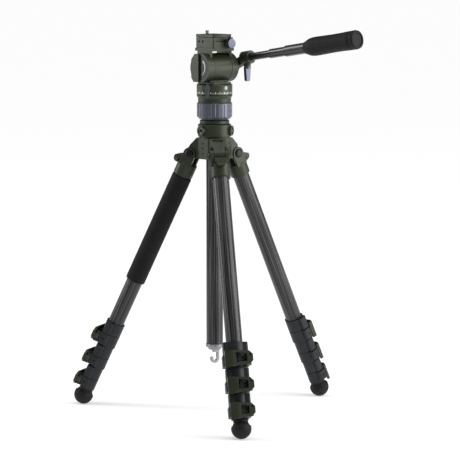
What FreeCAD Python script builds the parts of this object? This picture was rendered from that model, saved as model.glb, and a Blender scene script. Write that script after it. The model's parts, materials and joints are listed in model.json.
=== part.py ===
import FreeCAD, Part
import math
import os

# Four-section travel tripod with a half-ball levelling base and a small fluid head.
# Millimetres. +Z is up, +X runs along the head's tilt axis towards the pan handle, and the
# operator stands on the -Y side. The origin is on the floor, under the axis of the centre column.

# ---- clearances ----
RUNNING = 0.05        # radial, a shaft that turns or slides in its bore
GAP = 0.3             # between faces of pieces that move past each other

# ---- legs ----
LEG_AZIMUTHS = (0, 120, 240)
LEG_ANGLE = 25.4      # from the vertical, at rest
LEG_LENGTH = 477.7    # pivot to the centre of the foot ball
TOP_TUBE_R = 14.0     # the other tubes nest inside this one
TUBE_WALL = 1.45
TUBE_START = 22.0     # top end of the top tube, below the pivot
TUBE_STAGGER = 4.0    # each inner tube starts this much lower
PIVOT_RADIUS = 40.5   # pivot axis to the column axis
FOOT_BALL_R = 16.85
FOOT_NECK_WALL = 2.8
FOOT_NECK_LENGTH = 14.4
FOOT_SOCKET = 8.0     # how far the last tube reaches into its foot

TONGUE_HALF = 9.7     # arm of the spider between the two ears of a yoke
TONGUE_R = 10.5
EAR_R = 11.0
EAR_THICKNESS = 5.7
YOKE_END = 41.0       # lower end of the yoke, along the leg
YOKE_SHOULDER = 19.0  # where the yoke turns from two ears to a round socket
YOKE_WALL = 3.0
YOKE_CONE = 3.5       # slope at the top of the socket
PIVOT_BOLT_R = 4.0
BOLT_HEAD_R = 7.6
BOLT_HEAD_HEIGHT = 2.6
BOLT_HEAD_RIM = 1.0

# the pull tab of the angle lock: an inner block between the ears and a V-shaped finger grip outside them
LOCK_TAB_REACH = 25.2
LOCK_INNER_TOP = 8.6
LOCK_INNER_BOTTOM = 17.4
LOCK_GRIP_TOP = 11.0
LOCK_GRIP_BOTTOM = 25.0
LOCK_GRIP_POINT = 4.5  # half width of the lower end of the grip
LOCK_SLOPE = 3.0

CLAMP_HEIGHTS = (44.9, 42.6, 42.6)
CLAMP_WALL = 2.5
FIXED_BAND = 21.4     # height of the band that is bonded to the tube above
SLIT = 1.2            # gap between the fixed band and the clamping band
SPLIT_HALF = 0.8      # half of the upright gap that the tension bolt closes
GROOVE_DEPTH = 1.0
WING_OVERHANG = 4.5   # side wings of the clamp beyond its round part
WING_SETBACK = 3.0    # front of the wings behind the front of the top tube
WING_BACK = 5.0
WING_ROUND = 3.5
CLAMP_EAR_HALF = 6.5
BAND_FOOT = 3.0       # the wings end this much above the lower end of the clamp
SET_SCREW_R = 1.3
SET_SCREW_DEPTH = 3.0

LEVER_TOP = 16.4      # below the top of its clamp
LEVER_LEFT = 30.0     # height of the lever at its free end
LEVER_RIGHT = 23.0    # height at the hinge
LEVER_DROP = 2.6      # slope of the upper edge
LEVER_PLATE = 4.0
LEVER_STANDOFF = 7.0  # inner face of the lever from the tube
LEVER_EDGE = 6.0      # lever beyond its hinge pin
LEVER_WRAP = 12.0     # width of the free end that wraps back to the clamp
LEVER_WRAP_DEPTH = 6.0
LEVER_CHAMFER = 3.0
LEVER_WALL = 3.0
LEVER_RIM = 5.0       # of the frame round the window
LEVER_HOLE_R = 2.0
PIN_R = 1.6
KNUCKLE_R = 4.0
KNUCKLE_HALF = 4.5
TENSION_BOLT_R = 2.2
BOLT_SETBACK = 4.9    # bolt's axis behind the inner face of the lever
BOLT_NUT_R = 3.4
BOLT_HEAD_DEEP = 2.0
BOLT_NUT_DEEP = 3.5

SLEEVE_LEG = 2
SLEEVE_LENGTH = 206.0
SLEEVE_THICKNESS = 3.2

# ---- spider and column ----
SPIDER_DROP = 8.0     # underside below the leg pivots
SHOULDER_HEIGHT = 36.0
SHOULDER_R = 29.0
FLAT_DISTANCE = 26.0
ARM_HALF = 14.0
POCKET_WIDE = (2.5, 9.5)      # distance down the slope, half width
POCKET_NARROW = (24.0, 3.5)
POCKET_DEPTH = 2.6
GROOVE_HEIGHT = 2.0
COLLAR_HEIGHT = 21.6
COLLAR_R = 28.4
LUG_AZIMUTHS = (60, 180, 300)
LUG_REACH = 32.3
LUG_R = 8.5
INSERT_R = 5.0
THREAD_R = 3.175      # 1/4 inch thread
INSERT_LENGTH = 9.0
INSERT_RECESS = 1.5   # mouth of the insert below the face of its lug
INSERT_FLOOR = 1.5
LUG_ROOT = 9.0        # the lug starts this far inside the collar
COLLAR_BEVEL = 1.0

DIMPLE_R = 1.6
DIMPLE_DEPTH = 2.5
DIMPLE_DROPS = (9.0, 17.0, 26.0)   # below the top of the shoulder

COLUMN_R = 14.4
COLUMN_WALL = 1.5
COLUMN_LENGTH = 387.0
CAP_R = 15.5
CAP_HEIGHT = 10.0
CAP_WAIST = 3.5
CAP_PLUG = 14.0       # part of the cap inside the tube
HOOK_SHANK_R = 3.0
HOOK_DROP = 24.0
HOOK_WIDTH = 18.0
HOOK_WIRE = 4.6
HOOK_TIP = 2.5
HOOK_PLATE = 4.0

LOCK_RING_R = 25.3
LOCK_RING_HEIGHT = 6.6
NECK_HEIGHT = 3.7
NECK_STEP = 2.0       # neck inside the bowl's radius
TUBE_SEAT = 2.5       # depth of the column tube in its head

# ---- levelling base ----
BALL_R = 28.4
BALL_SHOULDER = 3.0   # flat top of the ball above its centre
BALL_DEPTH = BALL_R * 0.67         # flat underside of the ball below its centre
BALL_CENTRE_RISE = BALL_R + 1.6    # above the column neck
BOWL_R = BALL_R - 3.4
BOWL_FLOOR = 6.0
BOWL_RIM = 0.74       # rim of the bowl below the ball's centre, as a share of the ball's depth
LEVEL_RING_R = BALL_R + 1.8
LEVEL_RING_FLUTES = 26
LEVEL_RING_DROP = 4.5  # top of the ring below the ball's centre
FLUTE_R = 2.2
FLANGE_HEIGHT = 6.0
WASHER_R = BALL_R * 0.42
WASHER_BORE = 5.0
WASHER_RISE = 2.8     # above the ball's underside
WASHER_THICKNESS = 2.5
CAVITY_DEPTH = 8.5
CAVITY_ROOM = 5.0

# ---- fluid head ----
PAN_R = 30.6
PAN_HEIGHT = 18.7
PAN_BEVEL = 1.8
PAN_KNOB_AZIMUTH = -150.0
VIAL_R = 4.0
VIAL_DEPTH = 3.0
VIAL_DROP = 6.5       # below the top of the pan
SPIGOT_R = 8.0
SPIGOT_LENGTH = 10.0
DRUM_R = 25.0
DRUM_RISE = 27.5      # tilt axis above the pan base
HOUSING_HALF = 19.0
SIDE_CAP = 13.7       # width of each tilting side cap
SHAFT_R = 8.0
ARM_THICKNESS = 4.7
SHAFT_INSET = 4.0     # ends of the shaft below the outer faces
ARM_DEPTH = 17.0
DECK_RISE = 33.5      # top of the cradle above the tilt axis
DECK_THICKNESS = 5.0
HOUSING_FOOT = 12.0   # half depth of the web between drum and pan
HOUSING_LEDGE = 21.5
LEDGE_HEIGHT = 3.2
DIAL_R = 20.2
DIAL_THICKNESS = 2.0
COVER_THICKNESS = 3.0
COVER_DEPTH = 19.2
COVER_HALF = 24.0
ROSETTE_R = 12.0
ROSETTE_HEIGHT = 3.0

CLAMP_HALF_X = 22.2
CLAMP_HALF_Y = 23.0
CLAMP_BODY_HEIGHT = 18.0
SIDE_HOLE_R = 1.9
SIDE_HOLE_DEPTH = 2.5
SIDE_HOLE_Y = (5.0, 14.5)
CHANNEL_DEPTH = 7.0
CHANNEL_HALF = 17.3
DOVETAIL = 2.0
PLATE_HALF_X = 20.5
PLATE_REAR = 20.0
PLATE_BULGE = 4.0
PLATE_FRONT = 24.9
PLATE_FLANGE = 4.9
SCREW_Y = 19.3
SCREW_RAISE = 6.0
SCREW_HEAD_R = 6.0
SCREW_HEAD_HEIGHT = 2.2
SCREW_NECK_R = 2.7    # plain neck inside the plate
SCREW_NECK_TOP = 0.4  # thread begins this far above the plate
SCREW_POINT = 0.8
SLOT_REAR = -8.0      # rear end of the slot that the camera screw slides in
KNOB_R = 8.0
KNOB_LENGTH = 9.5
KNOB_STEM_R = 2.5
KNOB_STEM_LENGTH = 9.0
KNOB_GROOVES = 16
KNOB_GROOVE_R = 0.9

# ---- pan handle ----
HANDLE_AZIMUTH = -83.0
HANDLE_RISE = 8.7
HANDLE_CENTRE = (15.0, -30.0, 16.5)   # clamp ring from the outer face of the right side cap
HANDLE_RING_R = 11.3
HANDLE_HUB_LENGTH = 9.5
HANDLE_BAR_X = 9.0
HANDLE_BAR_Y = 15.0
HANDLE_BOSS_R = 6.0
HANDLE_BOSS_DROP = 3.4
HANDLE_LEVER_LENGTH = 25.5
HANDLE_LEVER_HALF = 3.2
HANDLE_RING_LENGTH = 18.0
HANDLE_TUBE_R = (6.5, 8.0, 9.5)
HANDLE_VISIBLE = (45.0, 36.0, 45.0)
HANDLE_OVERLAP = 37.0
GRIP_R = 16.0
GRIP_LENGTH = 113.0

# ---- worked out from the sizes above ----
TUBE_R = [TOP_TUBE_R - i * (TUBE_WALL + RUNNING) for i in range(4)]
PIVOT_Z = FOOT_BALL_R + LEG_LENGTH * math.cos(math.radians(LEG_ANGLE))
SPIDER_Z = PIVOT_Z - SPIDER_DROP
SHOULDER_Z = SPIDER_Z + SHOULDER_HEIGHT
COLLAR_Z = SHOULDER_Z + GROOVE_HEIGHT
COLLAR_TOP = COLLAR_Z + COLLAR_HEIGHT
LOCK_RING_Z = COLLAR_TOP + GAP
NECK_Z = LOCK_RING_Z + LOCK_RING_HEIGHT + GAP
BOWL_Z = NECK_Z + NECK_HEIGHT
BALL_Z = BOWL_Z + BALL_CENTRE_RISE
FLANGE_Z = BALL_Z + BALL_SHOULDER
PAN_Z = FLANGE_Z + FLANGE_HEIGHT + GAP
PAN_TOP = PAN_Z + PAN_HEIGHT
TILT_Z = PAN_TOP + DRUM_RISE
CAP_IN = HOUSING_HALF + GAP
CAP_OUT = CAP_IN + SIDE_CAP
DECK_TOP = TILT_Z + DECK_RISE
CLAMP_TOP = DECK_TOP + CLAMP_BODY_HEIGHT
CHANNEL_Z = CLAMP_TOP - CHANNEL_DEPTH
PLATE_Z = CLAMP_TOP + GAP
PLATE_TOP = PLATE_Z + PLATE_FLANGE
COLUMN_BOTTOM = NECK_Z - COLUMN_LENGTH
EAR_IN = TONGUE_HALF + 2 * GAP
EAR_OUT = EAR_IN + EAR_THICKNESS
EAR_ROOM = 4 * GAP                 # between the tongue's end and what faces it
NECK_R = BOWL_R - NECK_STEP
FOOT_NECK_R = TUBE_R[3] + FOOT_NECK_WALL
WING_FRONT = TOP_TUBE_R - WING_SETBACK

UP = FreeCAD.Vector(0, 0, 1)


def vec(x, y, z):
    return FreeCAD.Vector(x, y, z)


def box(x0, x1, y0, y1, z0, z1):
    return Part.makeBox(x1 - x0, y1 - y0, z1 - z0, vec(x0, y0, z0))


def rod(radius, z0, z1, x=0.0, y=0.0):
    return Part.makeCylinder(radius, z1 - z0, vec(x, y, z0), UP)


def rodX(radius, x0, x1, y, z):
    return Part.makeCylinder(radius, x1 - x0, vec(x0, y, z), vec(1, 0, 0))


def rodY(radius, y0, y1, x, z):
    return Part.makeCylinder(radius, y1 - y0, vec(x, y0, z), vec(0, 1, 0))


def turned(outline):
    """Solid of revolution about Z from (radius, height) points."""
    points = [vec(r, 0, z) for r, z in outline]
    face = Part.Face(Part.makePolygon(points + points[:1]))
    return face.revolve(vec(0, 0, 0), UP, 360)


def slab(outline, x0, x1):
    """Outline of (y, z) points given a thickness along X."""
    points = [vec(x0, y, z) for y, z in outline]
    face = Part.Face(Part.makePolygon(points + points[:1]))
    return face.extrude(vec(x1 - x0, 0, 0))


def plank(outline, y0, y1):
    """Outline of (x, z) points given a thickness along Y."""
    points = [vec(x, y0, z) for x, z in outline]
    face = Part.Face(Part.makePolygon(points + points[:1]))
    return face.extrude(vec(0, y1 - y0, 0))


def join(first, *others):
    return first.fuse(list(others)).removeSplitter()


def less(shape, *tools):
    return shape.cut(list(tools)).removeSplitter()


def roundUpright(shape, radius):
    """Rounds the straight edges along Z."""
    edges = []
    for edge in shape.Edges:
        a = edge.Vertexes[0].Point
        b = edge.Vertexes[-1].Point
        upright = math.hypot(a.x - b.x, a.y - b.y) < 1e-6 and abs(a.z - b.z) > 1e-6
        if upright:
            edges.append(edge)
    return shape.makeFillet(radius, edges)


def turnedTo(shape, azimuth):
    placed = shape.copy()
    placed.rotate(vec(0, 0, 0), UP, azimuth)
    return placed


def write(node, *solids):
    shape = solids[0] if len(solids) == 1 else Part.makeCompound(list(solids))
    shape.exportStep("parts/" + node + ".step")
    print(node, len(shape.Solids), round(shape.Volume))


# ---- leg pieces, drawn hanging straight down from a pivot at the origin ----
# -Z runs down the leg, +X is the leg's outer side and Y is the pivot axis.

def onLeg(shape, azimuth):
    placed = shape.copy()
    placed.rotate(vec(0, 0, 0), vec(0, 1, 0), -LEG_ANGLE)
    placed.translate(vec(PIVOT_RADIUS, 0, PIVOT_Z))
    placed.rotate(vec(0, 0, 0), UP, azimuth)
    return placed


def clampTop(i):
    """Distance from the pivot down to the top of clamp i; the last clamp meets the foot's neck."""
    below = sum(CLAMP_HEIGHTS[i:]) + (len(CLAMP_HEIGHTS) - 1 - i) * GAP
    return LEG_LENGTH - FOOT_NECK_LENGTH - GAP - below


def tubeEnd(i):
    return clampTop(i) + FIXED_BAND


def legTube(i):
    top = TUBE_START + i * TUBE_STAGGER
    if i < 3:
        end = tubeEnd(i)
    else:
        end = LEG_LENGTH - FOOT_NECK_LENGTH + FOOT_SOCKET
    body = rod(TUBE_R[i], -end, -top)
    return less(body, rod(TUBE_R[i] - TUBE_WALL, -end - 1, -top + 1))


def yoke():
    """Two ears round the spider's tongue above a round socket for the top tube."""
    socket = TOP_TUBE_R + YOKE_WALL
    ears = []
    for side in (-1, 1):
        y0, y1 = sorted((side * EAR_IN, side * EAR_OUT))
        cheek = join(rodY(EAR_R, y0, y1, 0, 0), box(-EAR_R, EAR_R, y0, y1, -YOKE_SHOULDER - YOKE_CONE, 0))
        ears.append(cheek)
    body = rod(socket, -YOKE_END, -YOKE_SHOULDER)
    start = vec(0, 0, YOKE_CONE - YOKE_SHOULDER)
    shoulder = Part.makeCone(socket - YOKE_CONE, socket, YOKE_CONE, start, vec(0, 0, -1))
    shape = join(body, shoulder, *ears)
    slot = box(-socket - 1, socket + 1, -EAR_IN, EAR_IN, -TONGUE_R - EAR_ROOM, EAR_R + 1)
    pocket = box(TONGUE_R, socket + 1, -EAR_IN, EAR_IN, -YOKE_SHOULDER + GAP, 0)
    bore = rod(TOP_TUBE_R, -YOKE_END - 1, -TUBE_START)
    bolt = rodY(PIVOT_BOLT_R + RUNNING, -EAR_OUT - 1, EAR_OUT + 1, 0, 0)
    return less(shape, slot, pocket, bore, bolt)


def pivotBolt():
    shaft = rodY(PIVOT_BOLT_R, -EAR_OUT - GAP, EAR_OUT + GAP, 0, 0)
    heads = []
    for side in (-1, 1):
        base = vec(0, side * (EAR_OUT + GAP), 0)
        outward = vec(0, side, 0)
        rim = Part.makeCylinder(BOLT_HEAD_R, BOLT_HEAD_RIM, base, outward)
        dome = Part.makeCone(BOLT_HEAD_R, BOLT_HEAD_R - BOLT_HEAD_HEIGHT, BOLT_HEAD_HEIGHT - BOLT_HEAD_RIM,
                             base + outward * BOLT_HEAD_RIM, outward)
        heads.append(join(rim, dome))
    return join(shaft, *heads)


def angleLock():
    """Sliding block between the ears with a finger grip that narrows downwards."""
    inner = TONGUE_R + EAR_ROOM
    face = TOP_TUBE_R + YOKE_WALL + GAP
    half = EAR_IN - GAP
    bevel = LOCK_TAB_REACH - LOCK_SLOPE
    outline = [(inner, -LOCK_INNER_TOP), (face, -LOCK_INNER_TOP), (bevel, -LOCK_GRIP_TOP),
               (LOCK_TAB_REACH, -LOCK_GRIP_TOP - LOCK_SLOPE), (LOCK_TAB_REACH, LOCK_SLOPE - LOCK_GRIP_BOTTOM),
               (bevel, -LOCK_GRIP_BOTTOM), (face, -LOCK_GRIP_BOTTOM),
               (face, -LOCK_INNER_BOTTOM), (inner, -LOCK_INNER_BOTTOM)]
    block = plank(outline, -half, half)
    low = -LOCK_GRIP_BOTTOM - 1
    shield = [(-half, 0), (half, 0), (half, -LOCK_INNER_BOTTOM), (LOCK_GRIP_POINT, low),
              (-LOCK_GRIP_POINT, low), (-half, -LOCK_INNER_BOTTOM)]
    return block.common(slab(shield, 0, LOCK_TAB_REACH + 1))


def clampSeam(i):
    return -clampTop(i) - FIXED_BAND


def clampBottom(i):
    return -clampTop(i) - CLAMP_HEIGHTS[i]


def clampBody(i):
    """Band bonded to tube i above a split band that closes on tube i + 1."""
    outer = TUBE_R[i] + CLAMP_WALL
    top = -clampTop(i)
    seam = clampSeam(i)
    bottom = clampBottom(i)
    foot = bottom + BAND_FOOT
    wing = outer + WING_OVERHANG
    upperWings = roundUpright(box(1 - WING_BACK, WING_FRONT, -wing, wing, seam, top), WING_ROUND)
    lowerWings = roundUpright(box(-WING_BACK, WING_FRONT, -wing - 2, wing - 1, foot, seam), WING_ROUND)
    ears = box(WING_FRONT - 1, leverFace(i) - PIN_R, -CLAMP_EAR_HALF, CLAMP_EAR_HALF, foot + 2, seam - SLIT)
    pinX, pinY = leverPin(i)
    hinge = join(rod(KNUCKLE_R, foot, seam - SLIT, pinX, pinY),
                 box(WING_FRONT - 3, pinX, pinY - KNUCKLE_R, pinY + 1, foot, seam - SLIT))
    shape = join(rod(outer, bottom, top), upperWings, lowerWings, ears, hinge)
    bores = [rod(TUBE_R[i], seam, top + 1), rod(TUBE_R[i + 1] + RUNNING, bottom - 1, seam)]
    slit = box(0, outer + wing, -wing - 5, wing + 5, seam - SLIT, seam)
    core = rod(outer - GROOVE_DEPTH, seam - SLIT - 1, seam + 1)
    groove = less(rod(outer + wing, seam - SLIT, seam), core)
    split = box(0, outer + wing, -SPLIT_HALF, SPLIT_HALF, bottom - 1, seam)
    middle = leverMiddle(i)
    room = KNUCKLE_HALF + GAP
    knuckleRoom = rod(KNUCKLE_R + 2 * GAP, middle - room, middle + room, pinX, pinY)
    boltHole = rodY(TENSION_BOLT_R, -CLAMP_EAR_HALF, CLAMP_EAR_HALF, boltX(i), middle)
    pinHole = rod(PIN_R, bottom, seam, pinX, pinY)
    headRoom = rodY(BOLT_NUT_R, -CLAMP_EAR_HALF - BOLT_HEAD_DEEP, -CLAMP_EAR_HALF, boltX(i), middle)
    nutRoom = rodY(BOLT_NUT_R, CLAMP_EAR_HALF, CLAMP_EAR_HALF + BOLT_NUT_DEEP, boltX(i), middle)
    screwX = WING_FRONT / 3
    setScrews = [rodY(SET_SCREW_R, -wing - 3, -wing - 2 + SET_SCREW_DEPTH, screwX, middle),
                 rodY(SET_SCREW_R, wing - 1 - SET_SCREW_DEPTH, wing, screwX, middle)]
    gaps = [slit, groove, split, knuckleRoom]
    holes = [boltHole, headRoom, nutRoom, pinHole, *setScrews]
    return less(shape, *bores, *gaps, *holes)


def clampHardware(i):
    """The tension bolt across the split and the hinge pin of the lever."""
    middle = leverMiddle(i)
    pinX, pinY = leverPin(i)
    bolt = rodY(TENSION_BOLT_R, -CLAMP_EAR_HALF, CLAMP_EAR_HALF, boltX(i), middle)
    nut = rodY(BOLT_NUT_R, CLAMP_EAR_HALF, CLAMP_EAR_HALF + BOLT_NUT_DEEP, boltX(i), middle)
    head = rodY(BOLT_NUT_R, -CLAMP_EAR_HALF - BOLT_HEAD_DEEP, -CLAMP_EAR_HALF, boltX(i), middle)
    pin = rod(PIN_R, clampBottom(i) + BAND_FOOT, clampSeam(i) - SLIT, pinX, pinY)
    return join(bolt, nut, head), pin


def leverFace(i):
    """Inner face of the lever's plate, from the leg's axis."""
    return TUBE_R[i] + LEVER_STANDOFF


def leverPin(i):
    outer = TUBE_R[i] + CLAMP_WALL
    return leverFace(i) - KNUCKLE_R - GAP, outer + WING_OVERHANG - 2.0


def boltX(i):
    return leverFace(i) - BOLT_SETBACK


def leverMiddle(i):
    return (clampSeam(i) - SLIT + clampBottom(i) + BAND_FOOT) / 2


def lever(i):
    """Flip lever: a windowed plate whose free end wraps back towards the clamp."""
    outer = TUBE_R[i] + CLAMP_WALL
    pinX, pinY = leverPin(i)
    face = leverFace(i)
    front = face + LEVER_PLATE
    back = WING_FRONT + 2 * GAP
    left = -(outer + WING_OVERHANG)
    right = pinY + LEVER_EDGE
    top = -clampTop(i) - LEVER_TOP
    low = top - LEVER_LEFT
    lowRight = top - LEVER_DROP - LEVER_RIGHT
    bend = left + LEVER_WRAP
    wrap = front - LEVER_WRAP_DEPTH
    inside = left + LEVER_WALL
    corners = [(front, right), (front, bend), (wrap, left), (back, left), (back, inside), (wrap - 1, inside),
               (face, bend), (face, right)]
    section = [vec(x, y, low) for x, y in corners]
    shell = Part.Face(Part.makePolygon(section + section[:1])).extrude(vec(0, 0, LEVER_LEFT))
    hingeSide = right - LEVER_EDGE
    topRight = top - LEVER_DROP
    outline = [(left - 1, top), (hingeSide, topRight), (right, topRight - LEVER_EDGE),
               (right, lowRight + LEVER_EDGE), (hingeSide, lowRight), (left - 1, low)]
    bevel = front - LEVER_CHAMFER
    profile = [(back - 1, top), (bevel, top), (front, top - LEVER_CHAMFER), (front, low + LEVER_CHAMFER),
               (bevel, low), (back - 1, low)]
    frame = shell.common(slab(outline, back - 1, front + 1)).common(plank(profile, left - 1, right + 1))
    middle = leverMiddle(i)
    z0, z1 = middle - KNUCKLE_HALF, middle + KNUCKLE_HALF
    knuckle = join(rod(KNUCKLE_R, z0, z1, pinX, pinY),
                   box(pinX, face + 1, pinY - KNUCKLE_R, pinY + KNUCKLE_R, z0, z1))
    windowLeft = bend + LEVER_RIM
    windowRight = pinY - KNUCKLE_R
    window = slab([(windowLeft, top - LEVER_RIM), (windowRight, topRight - LEVER_RIM),
                   (windowRight, lowRight + LEVER_RIM), (windowLeft, low + LEVER_RIM + LEVER_DROP)],
                  face - 1, front + 1)
    dimple = rodX(LEVER_HOLE_R, front - LEVER_HOLE_R, front + 1, pinY + 1, middle + LEVER_EDGE)
    pinHole = rod(PIN_R + RUNNING, z0 - 1, z1 + 1, pinX, pinY)
    return less(join(frame, knuckle), window, dimple, pinHole)


def foot():
    top = -(LEG_LENGTH - FOOT_NECK_LENGTH)
    ball = Part.makeSphere(FOOT_BALL_R, vec(0, 0, -LEG_LENGTH))
    neck = rod(FOOT_NECK_R, -LEG_LENGTH, top)
    return less(join(ball, neck), rod(TUBE_R[3], top - FOOT_SOCKET, top + FOOT_BALL_R))


def foamSleeve():
    top = -(YOKE_END + 2.0)
    sleeve = rod(TOP_TUBE_R + SLEEVE_THICKNESS, top - SLEEVE_LENGTH, top)
    return less(sleeve, rod(TOP_TUBE_R, top - SLEEVE_LENGTH - 1, top + 1))


def buildLegs():
    for number, azimuth in enumerate(LEG_AZIMUTHS, 1):
        name = "leg_%d_" % number
        write(name + "yoke", onLeg(yoke(), azimuth))
        write(name + "angle_lock", onLeg(angleLock(), azimuth))
        write(name + "tube_1", onLeg(legTube(0), azimuth))
        clampPieces = [clampBody(0), *clampHardware(0)]
        write(name + "clamp_1", *[onLeg(piece, azimuth) for piece in clampPieces])
        for i in (1, 2):
            section = [legTube(i), clampBody(i), *clampHardware(i)]
            write(name + "section_%d" % (i + 1), *[onLeg(piece, azimuth) for piece in section])
        for i in range(3):
            write(name + "lever_%d" % (i + 1), onLeg(lever(i), azimuth))
        write(name + "tube_4", onLeg(legTube(3), azimuth))
        write(name + "foot", onLeg(foot(), azimuth))
        if number == SLEEVE_LEG:
            write(name + "foam_sleeve", onLeg(foamSleeve(), azimuth))


# ---- spider ----

def spiderArm():
    """Arm towards +X: a sloping web from the shoulder to the tongue round the pivot."""
    pivot = (PIVOT_RADIUS, PIVOT_Z)
    top = (SHOULDER_R - 1.0, SHOULDER_Z)
    away = math.hypot(pivot[0] - top[0], pivot[1] - top[1])
    slope = math.atan2(pivot[1] - top[1], pivot[0] - top[0]) + math.asin(TONGUE_R / away)
    normal = slope + math.pi / 2
    touch = (pivot[0] + TONGUE_R * math.cos(normal), pivot[1] + TONGUE_R * math.sin(normal))
    outline = [(0, SPIDER_Z), (PIVOT_RADIUS - 3, SPIDER_Z), (PIVOT_RADIUS, PIVOT_Z), touch, top,
               (0, SHOULDER_Z)]
    tongue = join(plank(outline, -TONGUE_HALF, TONGUE_HALF),
                  rodY(TONGUE_R, -TONGUE_HALF, TONGUE_HALF, *pivot))
    wide = plank(outline, -ARM_HALF, ARM_HALF)
    earRoom = rodY(EAR_R + 2 * GAP, -ARM_HALF - 1, ARM_HALF + 1, *pivot)
    reach = PIVOT_RADIUS + EAR_R
    earRun = box(PIVOT_RADIUS - EAR_R - 2 * GAP, reach + 1, -ARM_HALF - 1, ARM_HALF + 1,
                 SPIDER_Z - 1, PIVOT_Z)
    outside = box(PIVOT_RADIUS, reach + 1, -ARM_HALF - 1, ARM_HALF + 1, PIVOT_Z - 1, SHOULDER_Z)
    wide = less(wide, earRoom, earRun, outside)
    arm = join(tongue, wide)
    # V-shaped pocket sunk into the upper slope
    along = vec(math.cos(slope), 0, math.sin(slope))
    inward = vec(-math.cos(normal), 0, -math.sin(normal))
    start = vec(top[0], 0, top[1]) - inward * 3
    (d0, h0), (d1, h1) = POCKET_WIDE, POCKET_NARROW
    ring = [start + along * d0 + vec(0, h0, 0), start + along * d1 + vec(0, h1, 0),
            start + along * d1 - vec(0, h1, 0), start + along * d0 - vec(0, h0, 0)]
    pocket = Part.Face(Part.makePolygon(ring + ring[:1])).extrude(inward * (3 + POCKET_DEPTH))
    return arm.cut(pocket)


def spider():
    hub = rod(SHOULDER_R, SPIDER_Z, SHOULDER_Z)
    flats = []
    for azimuth in LUG_AZIMUTHS:
        cutter = box(FLAT_DISTANCE, SHOULDER_R + 5, -SHOULDER_R, SHOULDER_R, SPIDER_Z - 1, SHOULDER_Z + 1)
        flats.append(turnedTo(cutter, azimuth))
    hub = less(hub, *flats)
    arms = [turnedTo(spiderArm(), azimuth) for azimuth in LEG_AZIMUTHS]
    groove = rod(COLLAR_R - 2.4, SHOULDER_Z, COLLAR_Z)
    edge = COLLAR_R - COLLAR_BEVEL
    collar = turned([(0, COLLAR_Z), (edge, COLLAR_Z), (COLLAR_R, COLLAR_Z + COLLAR_BEVEL),
                     (COLLAR_R, COLLAR_TOP - COLLAR_BEVEL), (edge, COLLAR_TOP), (0, COLLAR_TOP)])
    lugZ = COLLAR_Z + COLLAR_HEIGHT / 2
    insertEnd = LUG_REACH - INSERT_RECESS - INSERT_LENGTH
    lugs = []
    holes = []
    for azimuth in LUG_AZIMUTHS:
        lugs.append(turnedTo(rodX(LUG_R, COLLAR_R - LUG_ROOT, LUG_REACH, 0, lugZ), azimuth))
        holes.append(turnedTo(rodX(INSERT_R, insertEnd, LUG_REACH + 1, 0, lugZ), azimuth))
        for drop in DIMPLE_DROPS:
            dimple = rodX(DIMPLE_R, FLAT_DISTANCE - DIMPLE_DEPTH, FLAT_DISTANCE + 1, 0, SHOULDER_Z - drop)
            holes.append(turnedTo(dimple, azimuth))
    for azimuth in LEG_AZIMUTHS:
        holes.append(turnedTo(rodY(PIVOT_BOLT_R, -20, 20, PIVOT_RADIUS, PIVOT_Z), azimuth))
    bore = rod(COLUMN_R + RUNNING, SPIDER_Z - 1, COLLAR_TOP + 1)
    return less(join(hub, groove, collar, *arms, *lugs), bore, *holes)


def threadedInsert():
    lugZ = COLLAR_Z + COLLAR_HEIGHT / 2
    outside = LUG_REACH - INSERT_RECESS
    sleeve = rodX(INSERT_R, outside - INSERT_LENGTH, outside, 0, lugZ)
    return less(sleeve, rodX(THREAD_R, outside - INSERT_LENGTH + INSERT_FLOOR, outside + 1, 0, lugZ))


def buildSpider():
    write("spider", spider())
    fasteners = []
    for azimuth in LEG_AZIMUTHS:
        bolt = pivotBolt()
        bolt.translate(vec(PIVOT_RADIUS, 0, PIVOT_Z))
        fasteners.append(turnedTo(bolt, azimuth))
    for azimuth in LUG_AZIMUTHS:
        fasteners.append(turnedTo(threadedInsert(), azimuth))
    write("pivot_bolts_and_inserts", *fasteners)


# ---- centre column ----

def columnHook():
    """Flat J-shaped hook on a short shank, open on the -X side."""
    top = COLUMN_BOTTOM - CAP_HEIGHT
    half = HOOK_WIDTH / 2
    mid = top - HOOK_DROP + half
    hook = less(rodY(half, -HOOK_PLATE / 2, HOOK_PLATE / 2, 0, mid),
                rodY(half - HOOK_WIRE, -HOOK_PLATE, HOOK_PLATE, 0, mid),
                box(-half - 1, half - HOOK_WIRE, -HOOK_PLATE, HOOK_PLATE, mid, mid + half + 1))
    back = box(half - HOOK_WIRE, half, -HOOK_PLATE / 2, HOOK_PLATE / 2, mid, top - GAP)
    tip = box(-half, HOOK_WIRE - half, -HOOK_PLATE / 2, HOOK_PLATE / 2, mid, mid + HOOK_TIP)
    bridge = box(-HOOK_SHANK_R - 1, half, -HOOK_PLATE / 2, HOOK_PLATE / 2, top - GAP - HOOK_WIRE, top - GAP)
    shank = rod(HOOK_SHANK_R, top - GAP - 2, top + CAP_HEIGHT - 1)
    return join(hook, tip, back, bridge, shank)


def endCap():
    bottom = COLUMN_BOTTOM - CAP_HEIGHT
    waist = bottom + CAP_WAIST
    flange = turned([(0, bottom), (CAP_R - 5, bottom), (CAP_R - 3.5, waist), (CAP_R - 0.8, waist + 1),
                     (CAP_R, waist + 2), (CAP_R, COLUMN_BOTTOM), (0, COLUMN_BOTTOM)])
    plug = rod(COLUMN_R - COLUMN_WALL, COLUMN_BOTTOM - 0.5, COLUMN_BOTTOM + CAP_PLUG)
    shankHole = rod(HOOK_SHANK_R + RUNNING, bottom - 1, COLUMN_BOTTOM)
    return less(join(flange, plug), shankHole)


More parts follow.
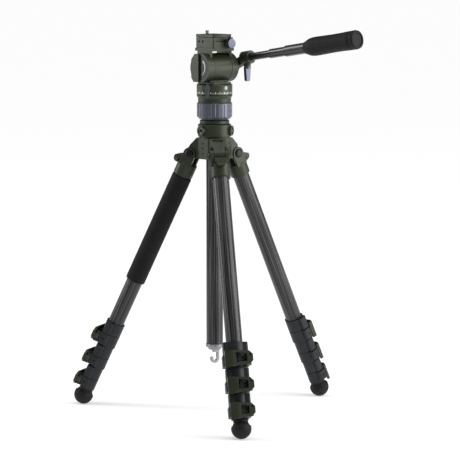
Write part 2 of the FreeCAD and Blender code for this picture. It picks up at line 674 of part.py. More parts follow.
def columnHead():
    """Neck and bowl on top of the column; the half ball sits in the bowl."""
    body = join(rod(NECK_R, NECK_Z, BOWL_Z), rod(BOWL_R, BOWL_Z, BALL_Z - BALL_DEPTH * BOWL_RIM))
    hollow = Part.makeSphere(BALL_R + GAP, vec(0, 0, BALL_Z))
    hollow = hollow.common(rod(BALL_R + 5, BOWL_Z + BOWL_FLOOR, BALL_Z + BALL_R + 1))
    socket = rod(COLUMN_R, NECK_Z - 1, NECK_Z + TUBE_SEAT)
    return less(body, hollow, socket)


def buildColumn():
    tube = less(rod(COLUMN_R, COLUMN_BOTTOM, NECK_Z + TUBE_SEAT),
                rod(COLUMN_R - COLUMN_WALL, COLUMN_BOTTOM - 1, NECK_Z + TUBE_SEAT + 1))
    write("column", tube, columnHead())
    write("column_end_cap", endCap())
    write("weight_hook", columnHook())
    ringTop = LOCK_RING_Z + LOCK_RING_HEIGHT
    ring = turned([(COLUMN_R + RUNNING, LOCK_RING_Z), (LOCK_RING_R - 0.8, LOCK_RING_Z),
                   (LOCK_RING_R, LOCK_RING_Z + 0.8), (LOCK_RING_R, ringTop - 1.0),
                   (LOCK_RING_R - 1.5, ringTop), (COLUMN_R + RUNNING, ringTop)])
    write("column_lock_ring", ring)


# ---- levelling base ----

def levellingRing():
    bottom = BOWL_Z - NECK_HEIGHT + 2 * GAP + 0.6
    top = BALL_Z - LEVEL_RING_DROP
    inner = BOWL_R + GAP
    lip = inner - 1.6
    ring = turned([(lip, bottom), (inner + 0.5, bottom), (LEVEL_RING_R, bottom + 4.5),
                   (LEVEL_RING_R, top - 0.8), (LEVEL_RING_R - 0.8, top), (lip, top)])
    step = rod(inner, BOWL_Z - GAP, top + 1)
    seat = Part.makeSphere(BALL_R + GAP, vec(0, 0, BALL_Z))
    flutes = []
    for k in range(LEVEL_RING_FLUTES):
        angle = math.radians(k * 360 / LEVEL_RING_FLUTES)
        away = LEVEL_RING_R + FLUTE_R - 0.7
        flutes.append(rod(FLUTE_R, bottom - 1, top - 1.6, away * math.cos(angle), away * math.sin(angle)))
    return less(ring, step, seat, *flutes)


def levellingBall():
    ball = Part.makeSphere(BALL_R, vec(0, 0, BALL_Z))
    ball = ball.common(rod(BALL_R + 1, BALL_Z - BALL_DEPTH, FLANGE_Z))
    rim = math.sqrt(BALL_R ** 2 - BALL_SHOULDER ** 2)
    top = FLANGE_Z + FLANGE_HEIGHT
    flange = turned([(0, FLANGE_Z - 0.5), (rim - 0.2, FLANGE_Z - 0.5), (rim, FLANGE_Z), (PAN_R, FLANGE_Z + 5),
                     (PAN_R, top), (0, top)])
    cavity = rod(WASHER_R + CAVITY_ROOM, BALL_Z - BALL_DEPTH - 1, BALL_Z - BALL_DEPTH + CAVITY_DEPTH)
    spigotBore = rod(SPIGOT_R + RUNNING, top - SPIGOT_LENGTH - 2, top + 1)
    return less(join(ball, flange), cavity, spigotBore)


def buildLevelling():
    write("levelling_ring", levellingRing())
    washerZ = BALL_Z - BALL_DEPTH + WASHER_RISE
    washerTop = washerZ + WASHER_THICKNESS
    hole = rod(WASHER_BORE, washerZ - 1, washerTop + 1)
    write("levelling_washer", less(rod(WASHER_R, washerZ, washerTop), hole))
    write("levelling_ball", levellingBall())


# ---- fluid head ----

def panBase():
    body = turned([(0, PAN_Z), (PAN_R - 0.5, PAN_Z), (PAN_R, PAN_Z + 0.5), (PAN_R, PAN_TOP - PAN_BEVEL),
                   (PAN_R - PAN_BEVEL, PAN_TOP), (0, PAN_TOP)])
    spigot = rod(SPIGOT_R, PAN_Z - SPIGOT_LENGTH, PAN_Z + 1)
    vialSeat = rodY(VIAL_R, -PAN_R - 1, -PAN_R + VIAL_DEPTH, 0, PAN_TOP - VIAL_DROP)
    return less(join(body, spigot), vialSeat)


def panKnob():
    """Kite-shaped locking knob, drawn pointing along +X."""
    middle = PAN_Z + PAN_HEIGHT * 0.45
    kite = [(0, middle + 12), (4.6, middle + 4.5), (2.4, middle - 3), (1.8, middle - 11),
            (-1.8, middle - 11), (-2.4, middle - 3), (-4.6, middle + 4.5)]
    wing = slab(kite, PAN_R + 1.6, PAN_R + 7.0)
    stem = rodX(3.0, PAN_R + GAP * 2, PAN_R + 2.0, 0, middle + 3.0)
    return join(wing, stem)


def tiltHousing():
    """The fixed drum with a web and a ledge down to the pan."""
    drum = rodX(DRUM_R - GAP, -HOUSING_HALF, HOUSING_HALF, 0, TILT_Z)
    web = box(-HOUSING_HALF, HOUSING_HALF, -HOUSING_FOOT, HOUSING_FOOT, PAN_TOP, TILT_Z)
    ledge = box(-HOUSING_HALF, HOUSING_HALF, -HOUSING_LEDGE, HOUSING_LEDGE, PAN_TOP, PAN_TOP + LEDGE_HEIGHT)
    bore = rodX(SHAFT_R + RUNNING, -HOUSING_HALF - 1, HOUSING_HALF + 1, 0, TILT_Z)
    return less(join(drum, web, ledge), bore)


def tiltCradle():
    """Two side caps, each with an arm up to a deck as wide as the plate clamp."""
    solids = []
    for side in (-1, 1):
        x0, x1 = sorted((side * CAP_IN, side * CAP_OUT))
        solids.append(rodX(DRUM_R, x0, x1, 0, TILT_Z))
        x0, x1 = sorted((side * CAP_IN, side * (CAP_IN + ARM_THICKNESS)))
        solids.append(box(x0, x1, -ARM_DEPTH, ARM_DEPTH, TILT_Z, DECK_TOP))
    edge = CAP_IN + ARM_THICKNESS
    solids.append(box(-edge, edge, -CLAMP_HALF_Y, CLAMP_HALF_Y, DECK_TOP - DECK_THICKNESS, DECK_TOP))
    solids.append(rodX(ROSETTE_R, CAP_OUT - 1, CAP_OUT + ROSETTE_HEIGHT, 0, TILT_Z))
    recess = rodX(DIAL_R + GAP, -CAP_OUT - 1, -CAP_OUT + DIAL_THICKNESS + 2 * GAP, 0, TILT_Z)
    shaftBore = rodX(SHAFT_R, -CAP_OUT + SHAFT_INSET, CAP_OUT - SHAFT_INSET, 0, TILT_Z)
    return less(join(*solids), recess, shaftBore)


def sideCover():
    """Six-sided shell over the forward half of the drag dial."""
    outline = [(0, COVER_HALF), (COVER_DEPTH * 0.55, COVER_HALF), (COVER_DEPTH, COVER_HALF * 0.6),
               (COVER_DEPTH, -COVER_HALF * 0.7), (COVER_DEPTH * 0.7, -COVER_HALF), (0, -COVER_HALF)]
    return slab([(y, TILT_Z + z) for y, z in outline], -CAP_OUT - COVER_THICKNESS, -CAP_OUT)


def plateClamp():
    bottom = DECK_TOP
    body = roundUpright(box(-CLAMP_HALF_X, CLAMP_HALF_X, -CLAMP_HALF_Y, CLAMP_HALF_Y, bottom, CLAMP_TOP), 1.5)
    channel = plank([(-CHANNEL_HALF, CHANNEL_Z), (CHANNEL_HALF, CHANNEL_Z),
                     (CHANNEL_HALF - DOVETAIL, CLAMP_TOP + 0.5), (-CHANNEL_HALF + DOVETAIL, CLAMP_TOP + 0.5)],
                    -CLAMP_HALF_Y - 1, CLAMP_HALF_Y + 1)
    stemEnd = -CLAMP_HALF_Y + KNOB_STEM_LENGTH + 1
    knobHole = rodY(KNOB_STEM_R + RUNNING, -CLAMP_HALF_Y - 1, stemEnd, knobX(), knobZ())
    holes = [rodX(SIDE_HOLE_R, -CLAMP_HALF_X - 1, -CLAMP_HALF_X + SIDE_HOLE_DEPTH, y, CHANNEL_Z)
             for y in SIDE_HOLE_Y]
    return less(body, channel, knobHole, *holes)


def knobX():
    return CLAMP_HALF_X / 2


def knobZ():
    return DECK_TOP + KNOB_R


def plateLockKnob():
    face = -CLAMP_HALF_Y - GAP * 2 - KNOB_LENGTH
    body = rodY(KNOB_R, face, -CLAMP_HALF_Y - GAP * 2, knobX(), knobZ())
    grooves = []
    away = KNOB_R + GAP
    for k in range(KNOB_GROOVES):
        angle = math.radians(k * 360 / KNOB_GROOVES)
        grooves.append(rodY(KNOB_GROOVE_R, face + 1.2, -CLAMP_HALF_Y + 1, knobX() + away * math.cos(angle),
                            knobZ() + away * math.sin(angle)))
    stem = rodY(KNOB_STEM_R, -CLAMP_HALF_Y - GAP * 2 - 1, -CLAMP_HALF_Y + KNOB_STEM_LENGTH, knobX(), knobZ())
    return join(body.cut(grooves), stem)


def quickReleasePlate():
    rear = -PLATE_REAR
    corners = [vec(PLATE_HALF_X, rear, PLATE_Z), vec(PLATE_HALF_X, PLATE_FRONT, PLATE_Z),
               vec(-PLATE_HALF_X, PLATE_FRONT, PLATE_Z), vec(-PLATE_HALF_X, rear, PLATE_Z)]
    edges = [Part.makeLine(a, b) for a, b in zip(corners, corners[1:])]
    bulge = Part.Arc(corners[3], vec(0, rear - PLATE_BULGE, PLATE_Z), corners[0]).toShape()
    top = Part.Face(Part.Wire(edges + [bulge])).extrude(vec(0, 0, PLATE_FLANGE))
    low = CHANNEL_Z + GAP
    wide = CHANNEL_HALF - GAP
    narrow = wide - DOVETAIL
    foundation = plank([(-wide, low), (wide, low), (narrow, PLATE_Z + 0.5), (-narrow, PLATE_Z + 0.5)],
                       -PLATE_REAR, CLAMP_HALF_Y)
    shape = join(top, foundation)
    slotR = THREAD_R + GAP
    slot = join(box(-slotR, slotR, SLOT_REAR, SCREW_Y, low - 1, PLATE_TOP + 1),
                rod(slotR, low - 1, PLATE_TOP + 1, 0, SCREW_Y),
                rod(slotR, low - 1, PLATE_TOP + 1, 0, SLOT_REAR))
    headRoom = SCREW_HEAD_R + GAP
    headTop = low + SCREW_HEAD_HEIGHT + 1
    headSlot = box(-headRoom, headRoom, SLOT_REAR - headRoom, CLAMP_HALF_Y + 1, low - 1, headTop)
    return less(shape, slot, headSlot)


def cameraScrew():
    """Stud with a round head and a folding turn key under the plate."""
    low = CHANNEL_Z + 2 * GAP
    headTop = low + SCREW_HEAD_HEIGHT
    stud = PLATE_TOP + SCREW_RAISE
    head = join(rod(SCREW_HEAD_R - 2, low, headTop),
                box(1 - SCREW_HEAD_R, SCREW_HEAD_R - 1, -1.2, 1.2, low, headTop))
    neckTop = PLATE_TOP + SCREW_NECK_TOP
    shaft = turned([(0, low + 1), (SCREW_NECK_R, low + 1), (SCREW_NECK_R, neckTop), (THREAD_R, neckTop),
                    (THREAD_R, stud - SCREW_POINT), (THREAD_R - SCREW_POINT, stud), (0, stud)])
    screw = join(head, shaft)
    screw.translate(vec(0, SCREW_Y, 0))
    return screw


def buildHead():
    write("pan_base", panBase())
    write("bubble_level", rodY(VIAL_R, -PAN_R + 0.2, -PAN_R + VIAL_DEPTH, 0, PAN_TOP - VIAL_DROP))
    write("pan_lock_knob", turnedTo(panKnob(), PAN_KNOB_AZIMUTH))
    write("tilt_housing", tiltHousing())
    shaft = rodX(SHAFT_R, -CAP_OUT + SHAFT_INSET, CAP_OUT - SHAFT_INSET, 0, TILT_Z)
    write("tilt_cradle", tiltCradle(), shaft)
    dial = rodX(DIAL_R, -CAP_OUT + GAP, -CAP_OUT + GAP + DIAL_THICKNESS, 0, TILT_Z)
    write("tilt_drag_dial", dial)
    write("side_cover", sideCover())
    write("plate_clamp", plateClamp())
    write("plate_lock_knob", plateLockKnob())
    write("quick_release_plate", quickReleasePlate())
    write("camera_screw", cameraScrew())


# ---- pan handle ----

def handleFrame():
    """Centre of the clamp ring and the direction of the handle."""
    azimuth = math.radians(HANDLE_AZIMUTH)
    rise = math.radians(HANDLE_RISE)
    centre = vec(CAP_OUT + HANDLE_CENTRE[0], HANDLE_CENTRE[1], TILT_Z + HANDLE_CENTRE[2])
    along = vec(math.cos(azimuth) * math.cos(rise), math.sin(azimuth) * math.cos(rise), math.sin(rise))
    return centre, along


def handleRod(radius, start, end):
    centre, along = handleFrame()
    return Part.makeCylinder(radius, end - start, centre + along * start, along)


def handleTube(i):
    half = HANDLE_RING_LENGTH / 2
    starts = [-half]
    edge = half
    for length in HANDLE_VISIBLE:
        edge += length
        starts.append(edge)
    end = starts[i + 1] + HANDLE_OVERLAP
    inside = HANDLE_TUBE_R[i] - (HANDLE_TUBE_R[i] - HANDLE_TUBE_R[i - 1] - RUNNING if i else 1.5)
    return less(handleRod(HANDLE_TUBE_R[i], starts[i], end), handleRod(inside, starts[i] - 1, end + 1))


def handleArm():
    """Rosette hub, arm and the ring that grips the first handle tube."""
    centre, along = handleFrame()
    face = CAP_OUT + ROSETTE_HEIGHT + GAP
    hub = rodX(ROSETTE_R, face, face + HANDLE_HUB_LENGTH, 0, TILT_Z)
    start = vec(face + HANDLE_HUB_LENGTH / 2, 0, TILT_Z)
    run = centre - start
    bar = Part.makeBox(HANDLE_BAR_X, HANDLE_BAR_Y, run.Length, vec(-HANDLE_BAR_X / 2, -HANDLE_BAR_Y / 2, 0))
    bar.Placement = FreeCAD.Placement(start, FreeCAD.Rotation(UP, run))
    half = HANDLE_RING_LENGTH / 2
    ring = handleRod(HANDLE_RING_R, -half, half)
    boss = rod(HANDLE_BOSS_R, centre.z - HANDLE_RING_R - HANDLE_BOSS_DROP, centre.z, centre.x, centre.y)
    shape = join(hub, bar, ring, boss)
    bore = handleRod(HANDLE_TUBE_R[0], -half, half + 1)
    behind = box(CAP_IN, face, -60, 60, TILT_Z - 60, TILT_Z + 60)
    return less(shape, bore, behind)


def handleLever():
    centre, along = handleFrame()
    top = centre.z - HANDLE_RING_R - HANDLE_BOSS_DROP - GAP
    shoulder = top - 2.5
    collar = rod(HANDLE_BOSS_R, shoulder - 1.5, top, centre.x, centre.y)
    end = top - HANDLE_LEVER_LENGTH
    outline = [(-5.4, shoulder), (5.4, shoulder), (3.8, end + 2), (2.6, end), (-2.6, end), (-3.8, end + 2)]
    blade = plank([(centre.x + x, z) for x, z in outline], centre.y - HANDLE_LEVER_HALF,
                  centre.y + HANDLE_LEVER_HALF)
    return join(collar, blade)


def buildHandle():
    write("handle_arm", handleArm())
    write("handle_clamp_lever", handleLever())
    for i, name in enumerate(("inner", "middle", "outer")):
        write("handle_tube_" + name, handleTube(i))
    start = HANDLE_RING_LENGTH / 2 + sum(HANDLE_VISIBLE)
    grip = less(handleRod(GRIP_R, start, start + GRIP_LENGTH),
                handleRod(HANDLE_TUBE_R[2], start - 1, start + HANDLE_OVERLAP))
    write("handle_grip", grip)


os.makedirs("parts", exist_ok=True)
buildLegs()
buildSpider()
buildColumn()
buildLevelling()
buildHead()
buildHandle()
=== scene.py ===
import bmesh
import bpy
import json
from math import asin, atan2, cos, degrees, hypot, pi, radians, sin
from mathutils import Matrix, Vector


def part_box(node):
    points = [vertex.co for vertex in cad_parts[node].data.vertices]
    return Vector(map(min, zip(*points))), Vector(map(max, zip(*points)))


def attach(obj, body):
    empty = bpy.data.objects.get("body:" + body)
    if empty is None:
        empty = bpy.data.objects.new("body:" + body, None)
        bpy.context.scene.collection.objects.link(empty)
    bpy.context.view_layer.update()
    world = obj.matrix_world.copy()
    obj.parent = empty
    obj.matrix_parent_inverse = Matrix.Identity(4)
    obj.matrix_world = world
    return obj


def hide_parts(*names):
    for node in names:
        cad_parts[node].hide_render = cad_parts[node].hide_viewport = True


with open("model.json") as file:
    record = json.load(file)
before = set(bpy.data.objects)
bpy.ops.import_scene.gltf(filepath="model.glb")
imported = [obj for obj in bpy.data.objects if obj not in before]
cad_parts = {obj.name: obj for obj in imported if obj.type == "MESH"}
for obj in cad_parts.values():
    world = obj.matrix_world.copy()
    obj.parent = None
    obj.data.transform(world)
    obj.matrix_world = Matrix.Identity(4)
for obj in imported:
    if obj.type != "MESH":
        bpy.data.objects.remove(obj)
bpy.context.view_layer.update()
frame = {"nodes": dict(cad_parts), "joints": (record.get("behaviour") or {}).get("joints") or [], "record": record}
record = frame["record"]
joints = {joint["name"]: joint for joint in frame["joints"]}
mm = 0.001
print("frame loaded:", len(frame["nodes"]), "nodes")


# ---- shader maths ----

class Wire:
    # one output socket; the operators add Math nodes
    def __init__(self, recipe, socket):
        self.recipe = recipe
        self.socket = socket

    def maths(self, operation, *others):
        return self.recipe.add("ShaderNodeMath", {"operation": operation}, dict(enumerate((self,) + others)))

    def __add__(self, other):
        return self.maths("ADD", other)

    def __sub__(self, other):
        return self.maths("SUBTRACT", other)

    def __mul__(self, other):
        return self.maths("MULTIPLY", other)

    def __truediv__(self, other):
        return self.maths("DIVIDE", other)

    def __rsub__(self, other):
        return self.recipe.add("ShaderNodeMath", {"operation": "SUBTRACT"}, {0: other, 1: self})

    def __lt__(self, other):
        return self.maths("LESS_THAN", other)

    def __gt__(self, other):
        return self.maths("GREATER_THAN", other)

    __radd__ = __add__
    __rmul__ = __mul__


class Recipe:
    # one material with its Principled shader
    def __init__(self, name, **constants):
        self.material = bpy.data.materials.new(name)
        self.material.use_nodes = True
        self.tree = self.material.node_tree
        self.shader = self.tree.nodes["Principled BSDF"]
        for socket, value in constants.items():
            self.shader.inputs[socket.replace("_", " ")].default_value = value
        coordinate = self.tree.nodes.new("ShaderNodeTexCoord")
        self.place = Wire(self, coordinate.outputs["Object"])

    def add(self, kind, settings, sockets, out=0):
        node = self.tree.nodes.new(kind)
        for key, value in settings.items():
            if key == "stops":
                ramp = node.color_ramp
                while len(ramp.elements) < len(value):
                    ramp.elements.new(0.5)
                for element, (position, colour) in zip(ramp.elements, value):
                    element.position = position
                    element.color = colour
            else:
                setattr(node, key, value)
        for key, value in sockets.items():
            if isinstance(value, Wire):
                self.tree.links.new(value.socket, node.inputs[key])
            else:
                node.inputs[key].default_value = value
        return Wire(self, node.outputs[out])

    def along(self, direction, origin=(0, 0, 0)):
        dot = self.add("ShaderNodeVectorMath", {"operation": "DOT_PRODUCT"}, {0: self.place, 1: direction}, "Value")
        return dot - Vector(direction).dot(Vector(origin))

    def noise(self, scale, detail=2.0, rough=0.5, at=None):
        sockets = {"Vector": at or self.place, "Scale": scale, "Detail": detail, "Roughness": rough}
        return self.add("ShaderNodeTexNoise", {}, sockets)

    def mix(self, share, low, high):
        return self.add("ShaderNodeMix", {"data_type": "RGBA"}, {0: share, 6: low, 7: high}, 2)

    def spread(self, value, low, high):
        # takes a 0 to 1 value into a range
        return value * (high - low) + low

    def feed(self, socket, wire):
        self.tree.links.new(wire.socket, self.shader.inputs[socket])

    def bump(self, height, strength, distance):
        sockets = {"Height": height, "Strength": strength, "Distance": distance}
        self.feed("Normal", self.add("ShaderNodeBump", {}, sockets))


def colour(red, green, blue):
    return (red, green, blue, 1.0)


finishes = {
    "olive": colour(0.027, 0.033, 0.017), "oliveWorn": colour(0.056, 0.065, 0.037),
    "grey": colour(0.012, 0.013, 0.015), "greyWorn": colour(0.030, 0.032, 0.037),
    "gunmetal": colour(0.085, 0.09, 0.118), "gunmetalWorn": colour(0.16, 0.168, 0.21),
    "rubber": colour(0.006, 0.006, 0.006), "rubberWorn": colour(0.013, 0.013, 0.013),
    # the pale carbon streak colour is partly the weave's own tone and partly a painted highlight
    "carbon": colour(0.006, 0.006, 0.007), "carbonFibreAndSheen": colour(0.11, 0.112, 0.117),
    "steel": colour(0.006, 0.006, 0.007), "steelWorn": colour(0.016, 0.016, 0.018),
    "bright": colour(0.36, 0.36, 0.375), "brightWorn": colour(0.2, 0.2, 0.215), "ink": colour(0.72, 0.74, 0.72),
    "liquid": colour(0.09, 0.13, 0.03), "bubble": colour(0.42, 0.5, 0.3),
}


def oliveRecipe(name):
    recipe = Recipe(name, Metallic=0.35, Specular_IOR_Level=0.4, Coat_Weight=0.06, Coat_Roughness=0.3)
    grain = recipe.noise(2600, 3)
    cloud = recipe.noise(35, 3)
    recipe.feed("Base Color", recipe.mix(recipe.spread(cloud, -0.25, 0.55), finishes["olive"], finishes["oliveWorn"]))
    recipe.feed("Roughness", recipe.spread(grain, 0.34, 0.52))
    recipe.bump(grain, 0.22, 0.00008)
    return recipe


def oliveMaterial():
    return oliveRecipe("olivePaint").material


def greyMaterial():
    recipe = Recipe("greyAnodised", Metallic=0.4, Specular_IOR_Level=0.35)
    grain = recipe.noise(2200, 3)
    cloud = recipe.noise(60, 2)
    recipe.feed("Base Color", recipe.mix(cloud, finishes["grey"], finishes["greyWorn"]))
    recipe.feed("Roughness", recipe.spread(grain, 0.36, 0.55))
    recipe.bump(grain, 0.3, 0.00008)
    return recipe.material


def gunmetalMaterial():
    recipe = Recipe("gunmetal", Metallic=0.75)
    brushed = recipe.noise(900, 2, at=recipe.add("ShaderNodeMapping", {}, {"Vector": recipe.place, "Scale": (1, 1, 9)}))
    recipe.feed("Base Color", recipe.mix(brushed, finishes["gunmetal"], finishes["gunmetalWorn"]))
    recipe.feed("Roughness", recipe.spread(brushed, 0.28, 0.5))
    recipe.bump(brushed, 0.15, 0.00005)
    return recipe.material


def brightMaterial():
    recipe = Recipe("brightAlloy", Metallic=0.95)
    lathe = recipe.noise(700, 2, at=recipe.add("ShaderNodeMapping", {}, {"Vector": recipe.place, "Scale": (1, 1, 14)}))
    recipe.feed("Base Color", recipe.mix(lathe, finishes["bright"], finishes["brightWorn"]))
    recipe.feed("Roughness", recipe.spread(lathe, 0.2, 0.42))
    recipe.bump(lathe, 0.12, 0.00005)
    return recipe.material


def steelMaterial():
    recipe = Recipe("blackSteel", Metallic=0.6)
    cloud = recipe.noise(400, 3)
    recipe.feed("Base Color", recipe.mix(cloud, finishes["steel"], finishes["steelWorn"]))
    recipe.feed("Roughness", recipe.spread(cloud, 0.25, 0.45))
    recipe.bump(cloud, 0.1, 0.00005)
    return recipe.material


def rubberMaterial():
    recipe = Recipe("blackRubber", Specular_IOR_Level=0.22)
    skin = recipe.noise(1500, 4)
    dust = recipe.noise(90, 4)
    recipe.feed("Base Color", recipe.mix(dust, finishes["rubber"], finishes["rubberWorn"]))
    recipe.feed("Roughness", recipe.spread(skin, 0.5, 0.75))
    recipe.bump(skin, 0.35, 0.0001)
    return recipe.material


def paleBand(recipe, share, low, high, rough):
    # white ink where the share is 1, paint elsewhere
    recipe.feed("Base Color", recipe.mix(share, recipe.mix(recipe.noise(35, 3), low, high), finishes["ink"]))
    recipe.feed("Roughness", recipe.spread(recipe.noise(2600, 3), *rough))


def panMaterial(scale):
    # olive paint with a ring of printed degree marks
    recipe = oliveRecipe("olivePanScale")
    height = recipe.along((0, 0, 1), (0, 0, scale["bottom"]))
    turn = recipe.add("ShaderNodeMath", {"operation": "ARCTAN2"}, {0: recipe.along((0, 1, 0)), 1: recipe.along((1, 0, 0))})
    minor = ((turn * (scale["marks"] / (2 * pi))).maths("FRACT") - 0.5).maths("ABSOLUTE") < scale["width"]
    major = ((turn * (scale["marks"] / scale["every"] / (2 * pi))).maths("FRACT") - 0.5).maths("ABSOLUTE") < scale["width"] / 2
    short = (height > 0) * (height < scale["short"])
    tall = (height > 0) * (height < scale["tall"])
    marks = (minor * short + major * tall).maths("MINIMUM", 1.0)
    paleBand(recipe, marks, finishes["olive"], finishes["oliveWorn"], (0.34, 0.52))
    return recipe.material


def dialMaterial(centre, dial):
    # black dial with an arc of printed marks that grow along it
    recipe = Recipe("dragDial", Metallic=0.3)
    up = recipe.along((0, 0, 1), centre)
    forward = recipe.along((0, 1, 0), centre)
    radius = (up * up + forward * forward).maths("SQRT")
    turn = recipe.add("ShaderNodeMath", {"operation": "ARCTAN2"}, {0: up, 1: forward * -1.0})
    inArc = (turn > dial["start"]) * (turn < dial["end"])
    ticks = ((turn * dial["ticks"]).maths("FRACT") - 0.5).maths("ABSOLUTE") < 0.2
    grow = (turn - dial["start"]) * dial["grow"]
    band = (radius > dial["inner"]) * (radius < grow + dial["inner"])
    line = (radius > dial["inner"]) * (radius < dial["inner"] + dial["line"])
    marks = (ticks * band * inArc + line * inArc).maths("MINIMUM", 1.0)
    paleBand(recipe, marks, finishes["steel"], finishes["steelWorn"], (0.35, 0.5))
    return recipe.material


def foamMaterial():
    recipe = Recipe("sleeveFoam", Specular_IOR_Level=0.12, Sheen_Weight=0.06, Sheen_Roughness=0.5)
    cells = recipe.add("ShaderNodeTexVoronoi", {}, {"Vector": recipe.place, "Scale": 1100})
    dust = recipe.noise(60, 3)
    recipe.feed("Base Color", recipe.mix(dust, colour(0.008, 0.008, 0.008), colour(0.02, 0.02, 0.021)))
    recipe.feed("Roughness", recipe.spread(dust, 0.78, 0.95))
    recipe.bump(cells, 0.5, 0.00025)
    return recipe.material


def carbonMaterial(name, origin, axis):
    # long streaks along the tube under a clear lacquer, with a fine spiral wrap; the pale streaks are partly the
    # weave's own tone and partly a painted highlight
    axis = Vector(axis).normalized()
    across = axis.cross(Vector((0.3, 0.9, 0.2))).normalized()
    third = axis.cross(across)
    recipe = Recipe(name, Specular_IOR_Level=0.35, Coat_Weight=0.18, Coat_Roughness=0.2)
    run = recipe.along(axis, origin)
    a = recipe.along(across, origin)
    b = recipe.along(third, origin)
    streaked = recipe.add("ShaderNodeCombineXYZ", {}, {0: a * 1.0, 1: b * 1.0, 2: run * 0.012})
    fibreAndSheen = recipe.noise(420, 3, 0.6, at=streaked)
    streak = recipe.add("ShaderNodeValToRGB", {"stops": ((0.46, colour(0, 0, 0)), (0.68, colour(1, 1, 1)))}, {0: fibreAndSheen})
    angle = recipe.add("ShaderNodeMath", {"operation": "ARCTAN2"}, {0: a, 1: b})
    wrap = (run * 1500 + angle * 1.0).maths("SINE")
    # pale streaks in the base colour: painted highlight as well as the weave's own tone
    recipe.feed("Base Color", recipe.mix(streak, finishes["carbon"], finishes["carbonFibreAndSheen"]))
    recipe.feed("Roughness", recipe.spread(streak, 0.28, 0.6))
    recipe.bump(wrap * 0.25 + streak, 0.2, 0.00006)
    return recipe.material


def vialMaterial(centre, axis, vial):
    # tinted liquid with a pale bubble and a dark printed ring, seen through a glossy lens
    recipe = Recipe("levelVial", Coat_Weight=1.0, Coat_Roughness=0.04)
    axis = Vector(axis).normalized()
    side = axis.orthogonal().normalized()
    over = recipe.along(side, centre)
    along = recipe.along(axis.cross(side), centre)
    radius = (over * over + along * along).maths("SQRT")
    shift = over - vial["bubbleShift"]
    fromBubble = (shift * shift + along * along).maths("SQRT")
    bubble = fromBubble < vial["bubble"]
    ring = (radius > vial["ring"]) * (radius < vial["ring"] + vial["line"])
    rim = radius > vial["rim"]
    liquid = recipe.mix(recipe.noise(300, 2), finishes["liquid"], colour(0.13, 0.17, 0.05))
    recipe.feed("Base Color", recipe.mix((ring + rim).maths("MINIMUM", 1.0),
                                         recipe.mix(bubble, liquid, finishes["bubble"]), finishes["steel"]))
    recipe.feed("Roughness", recipe.spread(recipe.noise(500, 2), 0.08, 0.2))
    return recipe.material


def tubeMaterial():
    # smooth black lacquered handle tube with faint drawing lines
    recipe = Recipe("blackTube", Coat_Weight=0.4, Coat_Roughness=0.15)
    drawn = recipe.noise(700, 2, at=recipe.add("ShaderNodeMapping", {}, {"Vector": recipe.place, "Scale": (1, 0.06, 1)}))
    recipe.feed("Base Color", recipe.mix(drawn, finishes["steel"], finishes["steelWorn"]))
    recipe.feed("Roughness", recipe.spread(drawn, 0.22, 0.38))
    recipe.bump(drawn, 0.1, 0.00004)
    return recipe.material


materials = {
    "olive_paint": oliveMaterial(), "grey_anodised": greyMaterial(), "gunmetal": gunmetalMaterial(),
    "bright_alloy": brightMaterial(), "black_steel": steelMaterial(), "black_rubber": rubberMaterial(),
    "foam": foamMaterial(), "blackTube": tubeMaterial(),
}
print("finishes mixed")


# ---- helpers for pieces ----

def finished(bm, name, material, body, slotName, *nodes):
    # turns a bmesh into a piece of the object that rides on its body and stands for CAD nodes
    mesh = bpy.data.meshes.new(name)
    bm.to_mesh(mesh)
    bm.free()
    mesh.materials.append(material)
    piece = bpy.data.objects.new(name, mesh)
    bpy.context.scene.collection.objects.link(piece)
    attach(piece, body)
    if nodes:
        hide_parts(*nodes)
    return piece


def smoothed(piece, angle=32, edge=0.0, segments=2):
    # soft edges: a bevel on every edge sharper than the angle
    piece.data.polygons.foreach_set("use_smooth", [True] * len(piece.data.polygons))
    piece.data.set_sharp_from_angle(angle=radians(angle))
    if edge:
        bevel = piece.modifiers.new("bevel", "BEVEL")
        bevel.width = edge
        bevel.segments = segments
        bevel.limit_method = "ANGLE"
        bevel.angle_limit = radians(angle)
        bevel.miter_outer = "MITER_ARC"
        weighted = piece.modifiers.new("weighted", "WEIGHTED_NORMAL")
        weighted.keep_sharp = True
    return piece


nodeBody = {node: body for body, nodes in record["behaviour"]["bodies"].items() for node in nodes}
nodeSlot = {entry["node"]: entry["material_slot"] for entry in record["subparts"]}


def dressed(node, edge=0.0004, material=None, others=()):
    # a merged copy of a CAD node with softened edges; others are (material, test of a face's corners)
    bm = bmesh.new()
    bm.from_mesh(frame["nodes"][node].data)
    bmesh.ops.remove_doubles(bm, verts=bm.verts, dist=1e-6)
    bmesh.ops.dissolve_limit(bm, angle_limit=radians(0.5), verts=bm.verts, edges=bm.edges)
    for index, (extra, test) in enumerate(others):
        for face in bm.faces:
            if test([vert.co for vert in face.verts]):
                face.material_index = index + 1
    piece = finished(bm, node + ".body", material or materials[nodeSlot[node]], nodeBody[node],
                     nodeSlot[node], node)
    for extra, test in others:
        piece.data.materials.append(extra)
    return smoothed(piece, 30, edge)


def lathe(outline, origin, axis, steps=64):
    # spins (radius, distance) points about an axis through the origin
    axis = Vector(axis).normalized()
    side = axis.orthogonal().normalized()
    bm = bmesh.new()
    verts = [bm.verts.new(Vector(origin) + side * r + axis * d) for r, d in outline]
    edges = [bm.edges.new(pair) for pair in zip(verts, verts[1:])]
    bmesh.ops.spin(bm, geom=verts + edges, cent=origin, axis=axis, angle=2 * pi, steps=steps, use_merge=True)
    bmesh.ops.remove_doubles(bm, verts=bm.verts, dist=1e-6)
    bmesh.ops.recalc_face_normals(bm, faces=bm.faces)
    return bm


# ---- legs ----

legs = []
for number in (1, 2, 3):
    spread = joints["leg_%d_spread" % number]
    slide = joints["leg_%d_section_2_slide" % number]
    legs.append({"name": "leg_%d" % number, "pivot": Vector(spread["pos_m"]), "down": Vector(slide["axis"]),
                 "out": Vector(joints["leg_%d_angle_lock_pull" % number]["axis"])})

clampTest = {"height": 0.0436}


